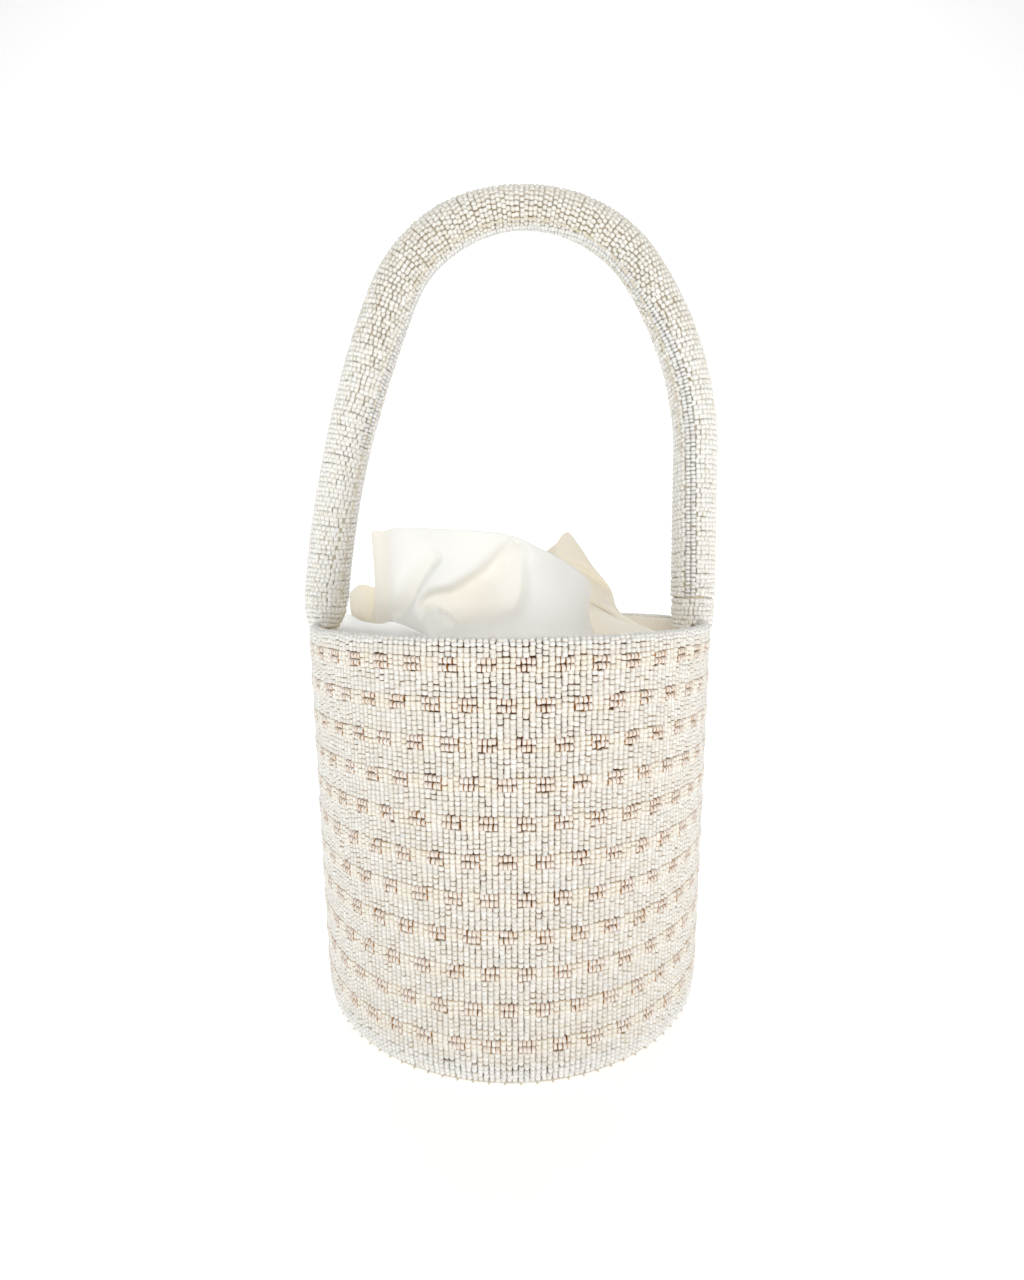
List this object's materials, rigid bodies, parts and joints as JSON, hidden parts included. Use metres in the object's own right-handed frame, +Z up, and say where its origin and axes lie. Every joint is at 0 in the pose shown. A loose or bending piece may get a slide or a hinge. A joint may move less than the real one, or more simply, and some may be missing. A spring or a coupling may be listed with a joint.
{
  "type": "flower girl basket",
  "caption": "Small stiff bucket basket covered in ivory seed beads, with a padded beaded handle that folds down and a satin pouch in its mouth.",
  "frame": {"origin": "centre of the base's underside, on the surface that the basket stands on", "axes": "+Z up, +X to the right as seen from the front, through both ends of the handle; the front faces -Y"},
  "size_m": [0.1595, 0.1498, 0.2965],
  "materials": {
    "ivory_beads": "gloss",
    "edge_beads": "gloss",
    "handle_beads": "gloss",
    "ivory_satin": "satin",
    "ground_cloth": "matte",
    "base_cloth": "matte",
    "wadding": "matte",
    "card": "matte",
    "thread": "matte"
  },
  "bodies": {
    "basket": {"base_cover": "base_cloth", "base_board": "card", "base_lining": "ivory_satin", "base_seam_stitches": "thread", "wall_stiffener": "card", "wall_ground_cloth": "ground_cloth", "wall_lining": "ivory_satin", "bead_course_01": "ivory_beads", "bead_course_02": "ivory_beads", "bead_course_03": "ivory_beads", "bead_course_04": "ivory_beads", "bead_course_05": "ivory_beads", "bead_course_06": "ivory_beads", "bead_course_07": "ivory_beads", "bead_course_08": "ivory_beads", "bead_course_09": "ivory_beads", "bead_course_10": "ivory_beads", "bead_course_11": "ivory_beads", "rim_bead_edging": "edge_beads", "base_bead_edging": "edge_beads", "rim_slip_stitches": "thread", "pouch_collar": "ivory_satin", "pouch_gather_stitches": "thread", "left_handle_tab": "base_cloth", "right_handle_tab": "base_cloth", "left_tab_stitches": "thread", "right_tab_stitches": "thread"},
    "handle": {"handle_core": "wadding", "handle_sleeve": "ground_cloth", "handle_bead_cover": "handle_beads", "handle_seam_stitches": "thread", "left_handle_end": "handle_beads", "right_handle_end": "handle_beads"}
  },
  "joints": [
    {"name": "handle_fold", "type": "hinge", "parent": "basket", "child": "handle", "pos_m": [0, 0, 0.1448], "axis": [1, 0, 0], "range_deg": [-90, 90]}
  ]
}
